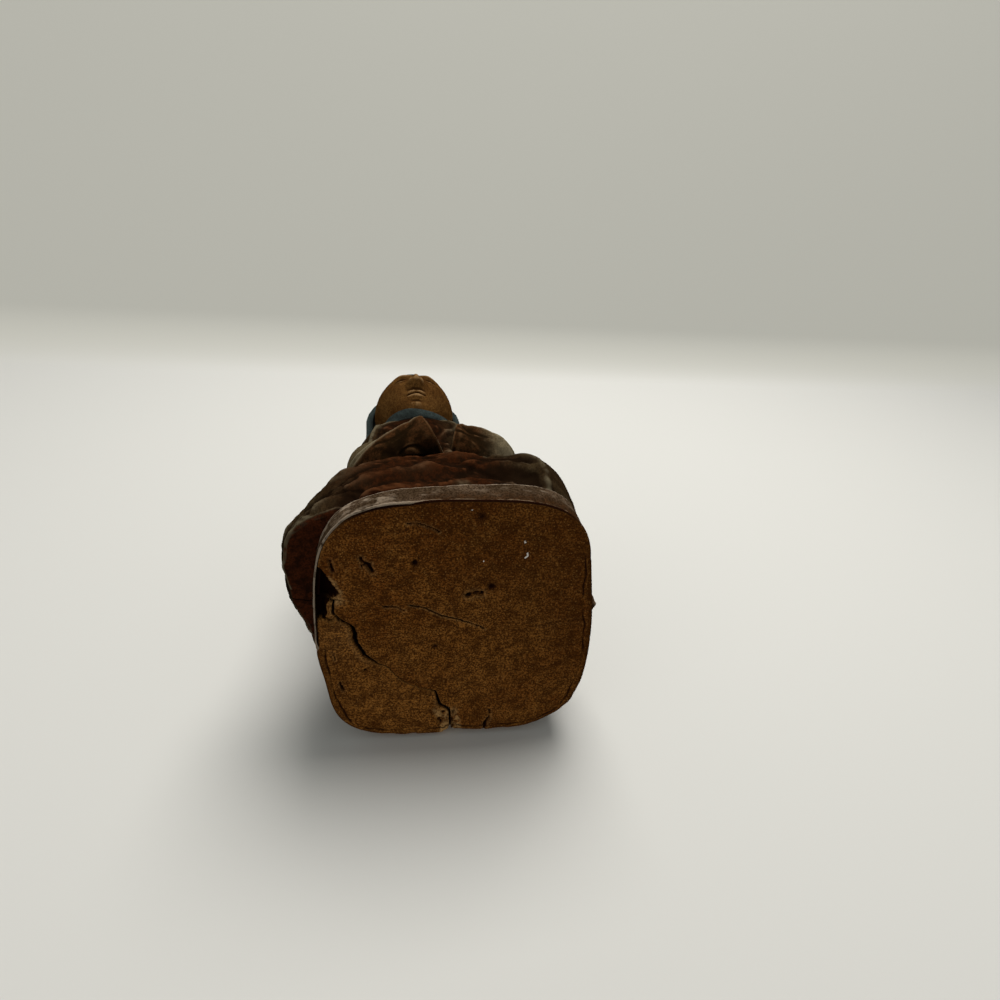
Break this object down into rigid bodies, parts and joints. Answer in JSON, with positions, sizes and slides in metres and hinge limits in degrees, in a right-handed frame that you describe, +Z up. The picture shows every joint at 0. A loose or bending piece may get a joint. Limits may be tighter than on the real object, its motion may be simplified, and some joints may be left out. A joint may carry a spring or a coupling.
{
  "type": "molded wood figurine",
  "caption": "Free-standing ornament: a robed seated elder with a headscarf on a rounded-square plinth, moulded in wood composition with a cracked, filled underside.",
  "frame": {"origin": "middle of the flat underside of the plinth", "axes": "+Z up along the figure, -Y the way it faces, +X to the figure's left"},
  "size_m": [0.0927, 0.0864, 0.155],
  "materials": {
    "wood_fill": "raw sawdust composition, matt and granular",
    "plinth_paint": "pressed wood skin, thin worn grey-brown paint",
    "robe_paint": "pressed wood, olive-brown stain rubbed pale at the edges",
    "sleeve_paint": "pressed wood, grey-green paint rubbed pale at the edges",
    "skin_paint": "pressed wood, tan stain with a slight sheen",
    "scarf_paint": "pressed wood, dull teal paint",
    "peg_wood": "bare turned wood"
  },
  "bodies": {
    "root": {"plinth_front_wall": "plinth_paint", "plinth_rear_wall": "plinth_paint", "base_fill_main": "wood_fill", "base_fill_corner": "wood_fill", "base_fill_chip": "wood_fill", "robe_front": "robe_paint", "robe_back": "robe_paint", "right_sleeve": "sleeve_paint", "left_sleeve": "sleeve_paint", "right_hand": "skin_paint", "left_hand": "skin_paint", "head": "skin_paint", "headscarf": "scarf_paint", "neck_scarf": "scarf_paint", "neck_dowel": "peg_wood", "right_arm_peg": "peg_wood", "left_arm_peg": "peg_wood"}
  },
  "joints": []
}
